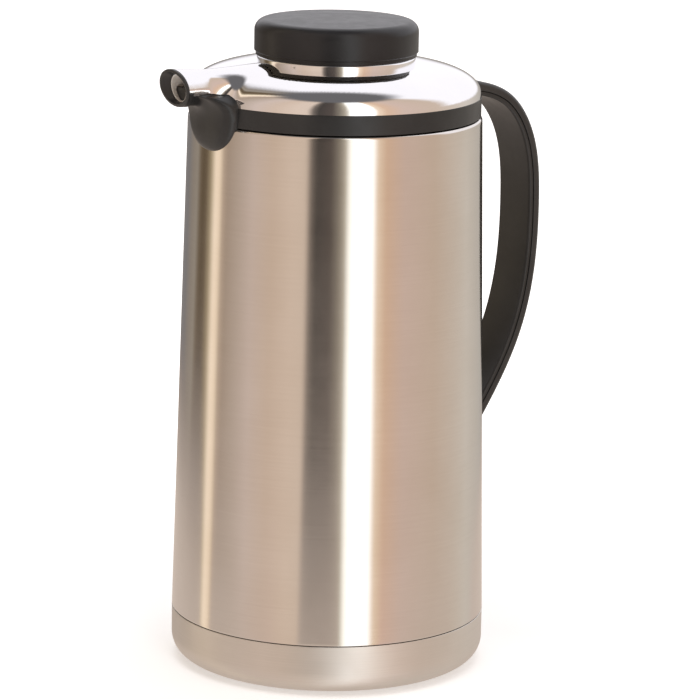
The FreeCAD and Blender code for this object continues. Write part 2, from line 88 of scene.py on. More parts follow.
def meshObject(name, vertices, faces):
    mesh = bpy.data.meshes.new(name)
    faces = [tuple(int(i) for i in face) for face in faces]
    mesh.from_pydata([tuple(v) for v in vertices], [], faces)
    mesh.update()
    thing = bpy.data.objects.new(name, mesh)
    bpy.context.scene.collection.objects.link(thing)
    return thing


def tidyMesh(thing, sharpDegrees=32.0):
    # doubles merged, faces turned outwards, smooth except over real edges
    bm = bmesh.new()
    bm.from_mesh(thing.data)
    bmesh.ops.remove_doubles(bm, verts=bm.verts, dist=2e-6)
    bmesh.ops.dissolve_degenerate(bm, edges=bm.edges, dist=1e-6)
    bmesh.ops.recalc_face_normals(bm, faces=bm.faces)
    bm.to_mesh(thing.data)
    bm.free()
    thing.data.polygons.foreach_set("use_smooth", [True] * len(thing.data.polygons))
    thing.data.set_sharp_from_angle(angle=math.radians(sharpDegrees))
    thing.data.update()
    return thing


def finishPiece(thing, finishName, body, replaced):
    thing.data.materials.clear()
    thing.data.materials.append(finishes[finishName])
    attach(thing, body)
    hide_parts(replaced)


def roundedProfile(corners, arcSteps, support=0.8, stride=12):
    # closed run of (radius, height[, corner radius]) turned into points, with arcs at the corners
    # and, on a long straight run, a point a little way in from each end and one at each stride
    points = []
    count = len(corners)
    for i, corner in enumerate(corners):
        here = np.array(corner[:2], float)
        radius = corner[2] if len(corner) > 2 else 0
        if not radius:
            points.append(here)
            continue
        before = np.array(corners[i - 1][:2], float) - here
        after = np.array(corners[(i + 1) % count][:2], float) - here
        before /= np.linalg.norm(before)
        after /= np.linalg.norm(after)
        half = math.acos(max(-1, min(1, float(before @ after)))) / 2
        reach = radius / math.tan(half)
        middle = (before + after) / np.linalg.norm(before + after)
        centre = here + middle * radius / math.sin(half)
        start, end = here + before * reach - centre, here + after * reach - centre
        a0, a1 = math.atan2(start[1], start[0]), math.atan2(end[1], end[0])
        turn = (a1 - a0 + math.pi) % (2 * math.pi) - math.pi
        for k in range(arcSteps + 1):
            a = a0 + turn * k / arcSteps
            points.append(centre + radius * np.array([math.cos(a), math.sin(a)]))
    full = []
    for i, p in enumerate(points):
        q = points[(i + 1) % len(points)]
        full.append(p)
        length = float(np.linalg.norm(q - p))
        if length > 3 * support and max(p[0], q[0]) > 1e-6:
            unit = (q - p) / length
            full.append(p + unit * support)
            steps = int(length // stride)
            full += [p + (q - p) * k / (steps + 1) for k in range(1, steps + 1)]
            full.append(q - unit * support)
    return full


def smoothCurve(knots, count):
    # natural cubic through the knots by chord length; gives points and unit tangents
    knots = np.array(knots, float)
    gaps = np.linalg.norm(np.diff(knots, axis=0), axis=1)
    at = np.concatenate([[0], np.cumsum(gaps)])
    n = len(knots)
    system = np.zeros((n, n))
    right = np.zeros((n, knots.shape[1]))
    system[0, 0] = system[-1, -1] = 1
    for i in range(1, n - 1):
        system[i, i - 1:i + 2] = gaps[i - 1], 2 * (gaps[i - 1] + gaps[i]), gaps[i]
        onward, back = knots[i + 1] - knots[i], knots[i] - knots[i - 1]
        right[i] = 6 * (onward / gaps[i] - back / gaps[i - 1])
    bend = np.linalg.solve(system, right)
    where = np.linspace(0, at[-1], count)
    seg = np.clip(np.searchsorted(at, where, side="right") - 1, 0, n - 2)
    h = gaps[seg][:, None]
    a = (at[seg + 1] - where)[:, None]
    b = (where - at[seg])[:, None]
    first = knots[seg] / h - bend[seg] * h / 6
    second = knots[seg + 1] / h - bend[seg + 1] * h / 6
    points = (bend[seg] * a ** 3 + bend[seg + 1] * b ** 3) / (6 * h) + first * a + second * b
    tangents = (-bend[seg] * a ** 2 + bend[seg + 1] * b ** 2) / (2 * h) - first + second
    return points, tangents / np.linalg.norm(tangents, axis=1)[:, None]


# geometry nodes that turn a profile round the jug's upright axis
def buildTurnTree():
    tree = bpy.data.node_groups.new("turnOnAxis", "GeometryNodeTree")
    sockets = (("Geometry", "Geometry"), ("Profile Points", "Int"), ("Segments", "Int"),
               ("Merge Distance", "Float"), ("Material", "Material"))
    for name, kind in sockets:
        tree.interface.new_socket(name, in_out="INPUT", socket_type="NodeSocket" + kind)
    tree.interface.new_socket("Geometry", in_out="OUTPUT", socket_type="NodeSocketGeometry")
    link = tree.links.new
    source = newNode(tree, "NodeGroupInput")
    sink = newNode(tree, "NodeGroupOutput")
    segments = source.outputs["Segments"]
    rows = mathNode(tree, "ADD", segments, 1)
    grid = newNode(tree, "GeometryNodeMeshGrid")
    link(source.outputs["Profile Points"], grid.inputs["Vertices X"])
    link(rows, grid.inputs["Vertices Y"])
    index = newNode(tree, "GeometryNodeInputIndex").outputs[0]
    column = mathNode(tree, "FLOOR", mathNode(tree, "DIVIDE", index, rows))
    row = mathNode(tree, "MODULO", index, rows)
    position = newNode(tree, "GeometryNodeInputPosition")
    sample = newNode(tree, "GeometryNodeSampleIndex", data_type="FLOAT_VECTOR", domain="POINT")
    link(source.outputs["Geometry"], sample.inputs["Geometry"])
    link(position.outputs[0], sample.inputs["Value"])
    link(column, sample.inputs["Index"])
    parts = newNode(tree, "ShaderNodeSeparateXYZ")
    link(sample.outputs["Value"], parts.inputs[0])
    angle = mathNode(tree, "MULTIPLY", mathNode(tree, "DIVIDE", row, segments), 2 * math.pi)
    placed = newNode(tree, "ShaderNodeCombineXYZ")
    for name, operation in (("X", "COSINE"), ("Y", "SINE")):
        reach = mathNode(tree, "MULTIPLY", mathNode(tree, operation, angle), parts.outputs["X"])
        link(reach, placed.inputs[name])
    link(parts.outputs["Z"], placed.inputs["Z"])
    move = newNode(tree, "GeometryNodeSetPosition")
    link(grid.outputs["Mesh"], move.inputs["Geometry"])
    link(placed.outputs[0], move.inputs["Position"])
    merge = newNode(tree, "GeometryNodeMergeByDistance")
    link(move.outputs[0], merge.inputs["Geometry"])
    link(source.outputs["Merge Distance"], merge.inputs["Distance"])
    real = newNode(tree, "GeometryNodeRealizeInstances")
    link(merge.outputs[0], real.inputs[0])
    paint = newNode(tree, "GeometryNodeSetMaterial")
    link(real.outputs[0], paint.inputs["Geometry"])
    link(source.outputs["Material"], paint.inputs["Material"])
    link(paint.outputs[0], sink.inputs[0])
    return tree


turnTree = buildTurnTree()


def bakeTree(name, seedMesh, tree, inputs):
    # runs a tree on a seed mesh and returns the result as a plain mesh object
    seed = bpy.data.objects.new(name + "Seed", seedMesh)
    bpy.context.scene.collection.objects.link(seed)
    modifier = seed.modifiers.new("nodes", "NODES")
    modifier.node_group = tree
    for item in tree.interface.items_tree:
        if item.item_type == "SOCKET" and item.in_out == "INPUT" and item.name in inputs:
            modifier[item.identifier] = inputs[item.name]
    seed.update_tag()
    bpy.context.view_layer.update()
    graph = bpy.context.evaluated_depsgraph_get()
    mesh = bpy.data.meshes.new_from_object(seed.evaluated_get(graph))
    mesh.name = name
    bpy.data.objects.remove(seed)
    thing = bpy.data.objects.new(name, mesh)
    bpy.context.scene.collection.objects.link(thing)
    return thing


def turnedPiece(name, finishName, corners, segments=256, arcSteps=7):
    points = roundedProfile(corners, arcSteps)
    points.append(points[0])
    edges = [(i, i + 1) for i in range(len(points) - 1)]
    seedMesh = bpy.data.meshes.new(name + "Profile")
    seedMesh.from_pydata([(radius * mm, 0, height * mm) for radius, height in points], edges, [])
    thing = bakeTree(name, seedMesh, turnTree, {
        "Profile Points": len(points), "Segments": segments, "Merge Distance": 1e-6,
        "Material": finishes[finishName]})
    return tidyMesh(thing)


# materials
def noiseNode(tree, place, **values):
    node = newNode(tree, "ShaderNodeTexNoise")
    setInputs(node, **values)
    tree.links.new(place, node.inputs["Vector"])
    return node.outputs["Fac"]


def bumpNode(tree, height, strength, distance):
    node = newNode(tree, "ShaderNodeBump")
    setInputs(node, Strength=strength, Distance=distance)
    tree.links.new(height, node.inputs["Height"])
    return node


def buildFinish(name, look):
    # one finish: two tones mixed by soft patches, roughness that wanders, fine grain as bump,
    # and for turned metal a tangent that runs up the wall so that highlights draw out upright
    material = bpy.data.materials.new(name)
    material.use_nodes = True
    tree = material.node_tree
    tree.nodes.clear()
    link = tree.links.new
    out = newNode(tree, "ShaderNodeOutputMaterial")
    shader = newNode(tree, "ShaderNodeBsdfPrincipled")
    link(shader.outputs[0], out.inputs["Surface"])
    setInputs(shader, **{
        "Metallic": look.get("metallic", 0.0), "Specular IOR Level": look.get("specular", 0.5),
        "Anisotropic": look.get("anisotropic", 0.0), "Subsurface Weight": look.get("scatter", 0.0)})
    place = newNode(tree, "ShaderNodeTexCoord").outputs["Object"]

    patches = noiseNode(tree, place, Scale=look.get("patchScale", 40.0), Detail=4.0, Roughness=0.55)
    tone = rangeNode(tree, patches, (0.35, 0.65))
    stretch = newNode(tree, "ShaderNodeMapping")
    stretch.inputs["Scale"].default_value = look.get("grainStretch", (1, 1, 1))
    link(place, stretch.inputs["Vector"])
    grain = noiseNode(tree, stretch.outputs[0], Scale=look["grainScale"], Detail=3.0, Roughness=0.6)
    colour = mixNode(tree, tone, look["colour"], look["colourTwo"])
    spread = rangeNode(tree, grain, (0.3, 0.7), (0.55, 1.15))
    shade = mixNode(tree, look.get("grainTint", 0.15), colour, spread, "MULTIPLY")
    link(shade, shader.inputs["Base Color"])

    wander = noiseNode(tree, place, Scale=look.get("wearScale", 90.0), Detail=5.0, Roughness=0.65,
                       Distortion=0.6)
    grainShare = look.get("grainInRoughness", 0.4)
    both = mathNode(tree, "ADD", wander, mathNode(tree, "MULTIPLY", grain, grainShare))
    middle = 0.5 + 0.5 * grainShare
    rough = rangeNode(tree, both, (middle - 0.22, middle + 0.22), look["roughness"])
    link(rough, shader.inputs["Roughness"])

    relief = bumpNode(tree, grain, look["bump"], look.get("bumpDepth", 0.0001))
    if "dent" in look:
        ripple = noiseNode(tree, place, Scale=look["dentScale"], Detail=2.0)
        fine, relief = relief, bumpNode(tree, ripple, look["dent"], look["dentDepth"])
        link(fine.outputs[0], relief.inputs["Normal"])
    link(relief.outputs[0], shader.inputs["Normal"])

    if look.get("turned"):
        across = newNode(tree, "ShaderNodeVectorMath", operation="CROSS_PRODUCT")
        across.inputs[0].default_value = (0, 0, 1)
        link(place, across.inputs[1])
        up = newNode(tree, "ShaderNodeVectorMath", operation="CROSS_PRODUCT")
        link(newNode(tree, "ShaderNodeNewGeometry").outputs["Normal"], up.inputs[0])
        link(across.outputs[0], up.inputs[1])
        unit = newNode(tree, "ShaderNodeVectorMath", operation="NORMALIZE")
        link(up.outputs[0], unit.inputs[0])
        link(unit.outputs[0], shader.inputs["Tangent"])
    return material


# each finish: its two tones, how rough it is between two ends, and its grain, patches and wear
looks = {
    "brushedShell": dict(
        colour=(0.80, 0.765, 0.735), colourTwo=(0.77, 0.73, 0.69), metallic=1.0, anisotropic=0.5,
        roughness=(0.105, 0.14), turned=True, grainStretch=(0.006, 0.006, 1.0),
        grainScale=4200.0, bump=0.05, bumpDepth=0.00003, grainTint=0.07, patchScale=26.0,
        wearScale=34.0, grainInRoughness=0.5),
    "brushedCup": dict(
        colour=(0.83, 0.80, 0.77), colourTwo=(0.79, 0.76, 0.72), metallic=1.0,
        roughness=(0.38, 0.46), turned=True, grainStretch=(0.008, 0.008, 1.0), grainScale=3600.0,
        bump=0.08, bumpDepth=0.00004, grainTint=0.10, patchScale=30.0, wearScale=50.0,
        grainInRoughness=0.5),
    "mirrorChrome": dict(
        colour=(0.93, 0.925, 0.94), colourTwo=(0.90, 0.89, 0.90), metallic=1.0,
        roughness=(0.035, 0.085), grainScale=1500.0, bump=0.012, bumpDepth=0.00002,
        grainTint=0.03, patchScale=18.0, wearScale=60.0, dent=0.02, dentScale=70.0,
        dentDepth=0.0003),
    "satinBlack": dict(
        colour=(0.012, 0.012, 0.0125), colourTwo=(0.017, 0.017, 0.0175), specular=0.5,
        roughness=(0.30, 0.40), grainScale=2400.0, bump=0.16, bumpDepth=0.00003, grainTint=0.3,
        patchScale=60.0, wearScale=110.0),
    "capBlack": dict(
        colour=(0.009, 0.009, 0.0105), colourTwo=(0.013, 0.013, 0.015), specular=0.46,
        roughness=(0.31, 0.39), grainScale=2600.0, bump=0.3, bumpDepth=0.00004, grainTint=0.3,
        patchScale=55.0, wearScale=120.0),
    "handleBlack": dict(
        colour=(0.019, 0.018, 0.018), colourTwo=(0.026, 0.025, 0.024), specular=0.5,
        roughness=(0.28, 0.37), grainScale=2300.0, bump=0.26, bumpDepth=0.00004, grainTint=0.3,
        patchScale=50.0, wearScale=90.0),
    "coverBlack": dict(
        colour=(0.015, 0.0145, 0.014), colourTwo=(0.021, 0.020, 0.0195), specular=0.5,
        roughness=(0.32, 0.42), grainScale=2500.0, bump=0.3, bumpDepth=0.00004, grainTint=0.3,
        patchScale=48.0, wearScale=95.0),
    "sleeveGrey": dict(
        colour=(0.66, 0.60, 0.54), colourTwo=(0.58, 0.52, 0.46), specular=0.4,
        roughness=(0.45, 0.6), grainScale=1500.0, bump=0.12, bumpDepth=0.00004, scatter=0.05),
    # painted shade: a near-black for the inside of the seam groove, where shade falls
    "paintedSeamShade": dict(
        colour=(0.030, 0.026, 0.023), colourTwo=(0.05, 0.043, 0.037), roughness=(0.5, 0.7),
        grainScale=1800.0, bump=0.2),
    "linerSteel": dict(
        colour=(0.62, 0.60, 0.57), colourTwo=(0.56, 0.54, 0.51), metallic=1.0, anisotropic=0.4,
        roughness=(0.28, 0.42), turned=True, grainStretch=(0.02, 0.02, 1.0), grainScale=1800.0,
        bump=0.15, bumpDepth=0.00005),
    "copperFoil": dict(
        colour=(0.83, 0.42, 0.27), colourTwo=(0.74, 0.34, 0.20), metallic=1.0,
        roughness=(0.18, 0.34), grainScale=500.0, bump=0.1, dent=0.6, dentScale=160.0,
        dentDepth=0.0008),
    "dullSteel": dict(
        colour=(0.36, 0.35, 0.34), colourTwo=(0.27, 0.26, 0.25), metallic=1.0,
        roughness=(0.4, 0.62), grainScale=1400.0, bump=0.3, patchScale=220.0, wearScale=400.0),
    "platedSteel": dict(
        colour=(0.60, 0.60, 0.59), colourTwo=(0.50, 0.50, 0.49), metallic=1.0,
        roughness=(0.22, 0.4), grainScale=1800.0, bump=0.15, patchScale=300.0, wearScale=500.0),
    "turnedBrass": dict(
        colour=(0.72, 0.53, 0.22), colourTwo=(0.62, 0.44, 0.17), metallic=1.0,
        roughness=(0.25, 0.4), grainScale=1500.0, bump=0.2, patchScale=300.0, wearScale=400.0),
    "padRubber": dict(
        colour=(0.020, 0.020, 0.020), colourTwo=(0.031, 0.030, 0.029), specular=0.35,
        roughness=(0.65, 0.85), grainScale=1100.0, bump=0.5, bumpDepth=0.00015, patchScale=45.0),
    "silicone": dict(
        colour=(0.58, 0.56, 0.52), colourTwo=(0.50, 0.48, 0.44), specular=0.4, scatter=0.25,
        roughness=(0.4, 0.55), grainScale=1300.0, bump=0.15),
    "mouldedBlack": dict(
        colour=(0.026, 0.025, 0.025), colourTwo=(0.035, 0.034, 0.033), specular=0.45,
        roughness=(0.4, 0.55), grainScale=1900.0, bump=0.25, patchScale=70.0),
    "rigidFoam": dict(
        colour=(0.78, 0.74, 0.62), colourTwo=(0.70, 0.64, 0.50), specular=0.25,
        roughness=(0.75, 0.95), grainScale=700.0, bump=0.8, bumpDepth=0.0003, scatter=0.1),
}
finishes = {name: buildFinish(name, look) for name, look in looks.items()}
print("finishes made:", len(finishes))

# CAD nodes that stay as they are, under the finish of each
keptNodes = dict(
    linerSteel=["inner_liner"],
    copperFoil=["copper_wrap"],
    dullSteel=["getter_capsule", "evacuation_seal", "handle_bracket"],
    padRubber=["base_pad"],
    silicone=["spout_gasket", "mouth_gasket", "flange_seal", "stopper_seal"],
    mouldedBlack=["neck_insert", "stopper_top_plate", "stopper_body", "stopper_bowl",
                  "seal_carrier"],
    platedSteel=["stopper_screws", "pivot_screw", "handle_top_screw"],
    turnedBrass=["handle_top_insert"],
    rigidFoam=["stopper_foam"])
for finishName, nodeNames in keptNodes.items():
    for nodeName in nodeNames:
        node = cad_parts[nodeName]
        if not node.material_slots:
            node.data.materials.append(finishes[finishName])
        for place in node.material_slots:
            place.material = finishes[finishName]
print("kept nodes painted:", sum(len(names) for names in keptNodes.values()))


# the steel bottle: a tapering shell over a rounded cup, with painted shade in the seam between them
bottle = dict(
    seamRadius=72.2, topRadius=66.8, seamHeight=24.0, seamGap=0.35, topHeight=254.5,
    shelfRadius=57.0, deckRadius=50.0, deckHeight=256.8, neckRadius=28.4, neckTop=258.5,
    wall=0.6, cornerRadius=10.0, steelBottom=0.8, padRadius=56.4, recess=3.02,
    dimpleRadius=9.0, dimpleDepth=3.0, lap=4.0, lapGap=0.2, jogTop=0.8, jogBottom=1.4)


def bodyRadius(z):
    b = bottle
    share = (z - b["seamHeight"]) / (b["topHeight"] - b["seamHeight"])
    return b["seamRadius"] + (b["topRadius"] - b["seamRadius"]) * share


def makeShell():
    b = bottle
    wall, top, deck, neck = b["wall"], b["topHeight"], b["deckHeight"], b["neckRadius"]
    low = b["seamHeight"] + b["seamGap"]
    thing = turnedPiece("brushedShell", "brushedShell", [
        (b["seamRadius"] - 0.01, low, 0.18), (b["topRadius"], top, 1.6),
        (b["shelfRadius"], top, 3.0), (b["deckRadius"], deck, 3.0), (neck, deck, 0.8),
        (neck, b["neckTop"]), (neck - wall, b["neckTop"]), (neck - wall, deck - wall, 0.8),
        (b["deckRadius"] + 0.2, deck - wall, 2.4), (b["shelfRadius"] + 0.2, top - wall, 2.4),
        (b["topRadius"] - wall, top - wall, 1.0), (b["seamRadius"] - wall, low)], segments=360)
    finishPiece(thing, "brushedShell", "jug", "outer_shell")


def makeCup():
    b = bottle
    wall, seam, low, corner = b["wall"], b["seamHeight"], b["steelBottom"], b["cornerRadius"]
    r, pocket, roof, dimple = b["seamRadius"], b["padRadius"], b["recess"], b["dimpleRadius"]
    lip, peak, lapTop = r - wall - b["lapGap"], roof + b["dimpleDepth"], seam + b["lap"]
    thing = turnedPiece("baseCup", "brushedCup", [
        (0, peak), (dimple, peak, 0.8), (dimple, roof, 0.8), (pocket, roof, 0.8),
        (pocket, low, 0.8), (r, low, corner), (r, seam, 0.25), (lip, seam), (lip, lapTop),
        (lip - wall, lapTop), (lip - wall, seam - b["jogTop"], 0.5),
        (r - wall, seam - b["jogBottom"], 0.3), (r - wall, low + wall, corner - wall),
        (pocket + wall, low + wall, 0.3), (pocket + wall, roof + wall, 0.8),
        (dimple + wall, roof + wall, 0.3), (dimple + wall, peak + wall, 0.8), (0, peak + wall)],
        segments=320, arcSteps=12)
    finishPiece(thing, "brushedCup", "jug", "base_cup")
    thing.data.materials.append(finishes["paintedSeamShade"])  # painted shade on the faces inside the joint line
    # faces inside the groove take the painted seam shade
    for polygon in thing.data.polygons:
        c = polygon.center
        if c.z > (seam - 0.1) * mm and math.hypot(c.x, c.y) < (r - 0.3) * mm:
            polygon.material_index = 1


makeShell()
makeCup()
print("bottle made")


# smooth solids that flow into each other, given as fields and meshed on a grid
def softMin(a, b, k):
    h = np.clip(0.5 + 0.5 * (b - a) / k, 0, 1)
    return b * (1 - h) + a * h - k * h * (1 - h)


def softMax(a, b, k):
    return -softMin(-a, -b, k)


def gradient(field, p, h=0.04):
    slope = np.empty_like(p)
    for axis in range(3):
        step = np.zeros(3)
        step[axis] = h
        slope[:, axis] = (field(p + step) - field(p - step)) / (2 * h)
    return slope


def meshField(name, field, low, high, step, walks=7):
    # a vertex in each grid cell that the surface crosses, each then walked onto the surface itself
    axes = [np.arange(a, b + step, step) for a, b in zip(low, high)]
    gx, gy, gz = np.meshgrid(*axes, indexing="ij")
    values = field(np.stack([gx.ravel(), gy.ravel(), gz.ravel()], 1)).reshape(gx.shape)
    inside = values < 0
    cells = np.zeros([n - 1 for n in inside.shape], int)
    nx, ny, nz = cells.shape
    for dx in (0, 1):
        for dy in (0, 1):
            for dz in (0, 1):
                cells += inside[dx:dx + nx, dy:dy + ny, dz:dz + nz]
    crossed = (cells > 0) & (cells < 8)
    number = -np.ones(cells.shape, int)
    number[crossed] = np.arange(crossed.sum())
    at = np.argwhere(crossed)
    points = np.stack([axes[i][at[:, i]] + step / 2 for i in range(3)], 1)
    start = points.copy()
    for _ in range(walks):
        slope = gradient(field, points)
        size = (slope ** 2).sum(1)
        move = -(field(points) / np.maximum(size, 0.05))[:, None] * slope
        points = points + np.clip(move, -step, step)
        points = start + np.clip(points - start, -1.1 * step, 1.1 * step)
    faces = []
    for axis in range(3):
        b, c = (axis + 1) % 3, (axis + 2) % 3
        first = np.moveaxis(inside, [axis, b, c], [0, 1, 2])
        ids = np.moveaxis(number, [axis, b, c], [0, 1, 2])
        change = first[:-1, 1:-1, 1:-1] != first[1:, 1:-1, 1:-1]
        i, j, k = np.nonzero(change)
        j, k = j + 1, k + 1
        quad = np.stack([ids[i, j - 1, k - 1], ids[i, j, k - 1], ids[i, j, k], ids[i, j - 1, k]],
                        axis=1)
        flip = ~first[i, j, k]
        quad[flip] = quad[flip][:, ::-1]
        faces.append(quad)
    faces = np.concatenate(faces)
    faces = faces[(faces >= 0).all(1)]
    return meshObject(name, points * mm, faces)


def cutByField(thing, keep):
    # splits every face that the surface keep = 0 crosses and drops what is on its negative side
    bm = bmesh.new()
    bm.from_mesh(thing.data)
    bm.verts.ensure_lookup_table()
    value = dict(zip(bm.verts, keep(np.array([v.co for v in bm.verts]) / mm)))
    fresh = set()
    for edge in list(bm.edges):
        a, b = edge.verts
        if value[a] * value[b] < 0:
            _, vert = bmesh.utils.edge_split(edge, a, value[a] / (value[a] - value[b]))
            value[vert] = 0.0
            fresh.add(vert)
    for f in list(bm.faces):
        on = [v for v in f.verts if v in fresh]
        if len(on) == 2 and not any(e.other_vert(on[0]) is on[1] for e in on[0].link_edges):
            bmesh.utils.face_split(f, on[0], on[1])
    centres = np.array([f.calc_center_median() for f in bm.faces]) / mm
    gone = [f for f, v in zip(bm.faces, keep(centres)) if v < 0]
    bmesh.ops.delete(bm, geom=gone, context="FACES")
    bm.to_mesh(thing.data)
    bm.free()
    return thing


# the chromed shoulder with its hood, the black ring with its bib, and the spout
shoulder = dict(
    rimRadius=66.1, crownRadius=34.25, rimHeight=263.85, crownHeight=278.15,
    sidePower=2.0, upPower=2.36, spoutStart=(33.0, 268.2), spoutEnd=(86.2, 272.1),
    hoodRadius=8.4, hoodDrop=1.2, hoodRound=2.5, hoodFrom=45.0, tubeFrom=30.0, webReach=9.0,
    flare=3.6, flareRun=14.0, mouthLean=9.0, mouthLip=1.4, wall=1.1,
    collarRadius=35.9, collarBore=34.2, collarHeights=(277.0, 281.1),
    low=(-69.3, -93.3, 259.2), high=(69.3, 69.3, 283.2), grid=1.0)

spoutFrom = np.array([0, -shoulder["spoutStart"][0], shoulder["spoutStart"][1]])
spoutTo = np.array([0, -shoulder["spoutEnd"][0], shoulder["spoutEnd"][1]])
spoutLength = float(np.linalg.norm(spoutTo - spoutFrom))
spoutAlong = (spoutTo - spoutFrom) / spoutLength
mouthTilt = math.radians(shoulder["mouthLean"])
mouthNormal = np.array([0, -math.cos(mouthTilt), -math.sin(mouthTilt)])


def domeField(p):
    s = shoulder
    r = np.hypot(p[:, 0], p[:, 1])
    x = np.maximum(r - s["crownRadius"], 0) / (s["rimRadius"] - s["crownRadius"])
    height = s["crownHeight"] - s["rimHeight"]
    y = np.maximum(p[:, 2] - s["rimHeight"], 0) / height
    value = x ** s["sidePower"] + y ** s["upPower"] - 1
    # divided by its own steepness, so that the field is close to a distance in mm
    slopeX = s["sidePower"] * x ** (s["sidePower"] - 1) / (s["rimRadius"] - s["crownRadius"])
    slopeY = s["upPower"] * np.maximum(y, 1e-4) ** (s["upPower"] - 1) / height
    return value / np.maximum(np.hypot(slopeX, slopeY), 0.012)


def mouthFlare(distance):
    # how much wider than a circle the spout is on each side, at a distance along it
    run = shoulder["flareRun"]
    return shoulder["flare"] * np.maximum(distance - (spoutLength - run), 0) / run


def axisDistance(p):
    away = p - spoutFrom
    distance = away @ spoutAlong
    off = away - np.outer(distance, spoutAlong)
    off[:, 0] *= shoulder["hoodRadius"] / (shoulder["hoodRadius"] + mouthFlare(distance))
    return np.linalg.norm(off, axis=1)


def axisHeight(p):
    # height of the spout's axis above a point's place along the jug
    return spoutFrom[2] + (-p[:, 1] + spoutFrom[1]) * spoutAlong[2] / -spoutAlong[1]


def skinField(p):
    tube = np.maximum(axisDistance(p) - shoulder["hoodRadius"], p[:, 1] + shoulder["tubeFrom"])
    return softMin(domeField(p), tube, shoulder["webReach"])


bib = dict(
    radius=20.0, half=18.2, roundness=2.25, height=262.5, axis=20.0, edge=4.0,
    front=[(48.9, 241.0), (49.9, 246.0), (50.6, 252.0), (51.0, 257.5), (51.8, 261.5),
           (53.6, 265.0), (57.0, 268.2), (61.0, 270.3)],
    widths=[(262.5, 18.2), (264.5, 17.7), (266.5, 15.9), (268.0, 13.4), (269.5, 10.6),
            (272.0, 8.0)],
    top=268.5, back=52, backRadius=63.4,
    # the core fills the underside of the hood
    coreGap=0.7, coreRise=1.2, coreLow=260.5, coreFront=81.0, coreHalf=16, coreBlend=3.0,
    low=(-26.3, -86.3, 238.2), high=(26.3, -48.3, 274.2), grid=0.5)
frontCurve, _ = smoothCurve([(z, r) for r, z in bib["front"]], 120)
widthCurve, _ = smoothCurve(bib["widths"], 60)


def outlineField(p):
    z = p[:, 2]
    drop = np.maximum(bib["height"] - z, 0) / bib["radius"]
    power = bib["roundness"]
    below = ((np.abs(p[:, 0]) / bib["half"]) ** power + drop ** power) ** (1 / power) - 1
    above = np.abs(p[:, 0]) - np.interp(z, widthCurve[:, 0], widthCurve[:, 1])
    return np.where(z > bib["height"], above * 0.8, below * bib["half"])


def hoodEdge(p):
    # positive where chrome stays: outside the bib's outline or above the lower edge of the hood
    s = shoulder
    lowerEdge = axisHeight(p) - s["hoodDrop"]
    edge = softMin(-outlineField(p), lowerEdge - p[:, 2], s["hoodRound"])
    return np.maximum(-edge, p[:, 1] + s["hoodFrom"])


def makeShoulder():
    s = shoulder
    mouth = spoutTo - spoutAlong * s["mouthLip"]
    thing = meshField("chromeShoulder", skinField, s["low"], s["high"], s["grid"])
    cutByField(thing, lambda p: p[:, 2] - s["rimHeight"])
    cutByField(thing, lambda p: -((p - mouth) @ mouthNormal))
    cutByField(thing, lambda p: np.hypot(p[:, 0], p[:, 1]) - (s["collarRadius"] - 0.8))
    cutByField(thing, hoodEdge)
    tidyMesh(thing, 60)
    thick = thing.modifiers.new("wall", "SOLIDIFY")
    thick.thickness = s["wall"] * mm
    thick.offset = -1
    thick.use_even_offset = False
    graph = bpy.context.evaluated_depsgraph_get()
    mesh = bpy.data.meshes.new_from_object(thing.evaluated_get(graph))
    thing.modifiers.clear()
    thing.data = mesh
    mesh.polygons.foreach_set("use_smooth", [True] * len(mesh.polygons))
    mesh.set_sharp_from_angle(angle=math.radians(50))
    finishPiece(thing, "mirrorChrome", "jug", "shoulder_cover")


def makeCollar():
    s = shoulder
    low, high = s["collarHeights"]
    radius, bore = s["collarRadius"], s["collarBore"]
    thing = turnedPiece("collarTrim", "mirrorChrome", [
        (bore, low), (radius + 0.25, low), (radius, low + 0.9, 0.4), (radius, high, 0.7),
        (bore, high, 0.4)], segments=256)
    finishPiece(thing, "mirrorChrome", "jug", "collar_trim")


def bibField(p):
    b = bib
    radius = np.hypot(p[:, 0], p[:, 1] + b["axis"])
    front = radius - np.interp(p[:, 2], frontCurve[:, 0], frontCurve[:, 1])
    shape = softMax(front, outlineField(p), b["edge"])
    roof = axisHeight(p) - shoulder["hoodDrop"] + b["coreRise"]
    core = np.maximum(skinField(p) + b["coreGap"], p[:, 2] - roof)
    core = np.maximum(core, np.maximum(b["coreLow"] - p[:, 2], -b["coreFront"] - p[:, 1]))
    core = np.maximum(core, np.abs(p[:, 0]) - b["coreHalf"])
    shape = softMin(np.maximum(shape, p[:, 2] - b["top"]), core, b["coreBlend"])
    back = np.maximum(p[:, 1] + b["back"], b["backRadius"] - np.hypot(p[:, 0], p[:, 1]))
    return np.maximum(shape, back)


ring = dict(radius=66.2, low=254.9, high=263.8, ledge=1.5, lip=1.9, thick=3.2, floor=2.2, bore=60.0)


def makeRing():
    r, low, high, shelf = ring["radius"], ring["low"], ring["high"], ring["low"] + ring["floor"]
    lipTop, back = high + ring["lip"], r - ring["thick"]
    band = turnedPiece("neckBand", "satinBlack", [
        (r, low, 0.3), (r, high, 0.3), (r - ring["ledge"], high), (r - ring["ledge"], lipTop, 0.4),
        (back, lipTop, 0.4), (back, shelf, 0.6), (ring["bore"], shelf, 0.5), (ring["bore"], low)],
        segments=320)
    tongue = meshField("bibTongue", bibField, bib["low"], bib["high"], bib["grid"])
    tidyMesh(tongue, 60)
    bm = bmesh.new()
    bm.from_mesh(band.data)
    bm.from_mesh(tongue.data)
    bm.to_mesh(band.data)
    bm.free()
    bpy.data.objects.remove(tongue)
    band.name = band.data.name = "neckRing"
    finishPiece(band, "satinBlack", "jug", "neck_ring")


nozzle = dict(
    bore=6.2, tube=7.7, bead=8.35, slim=7.1, tucked=0.93, beadLength=4.2, sleeveWall=0.4,
    sleeveBack=2.7, funnelDepth=2.6, funnelWide=4.2, funnelHigh=0.9, steps=96)


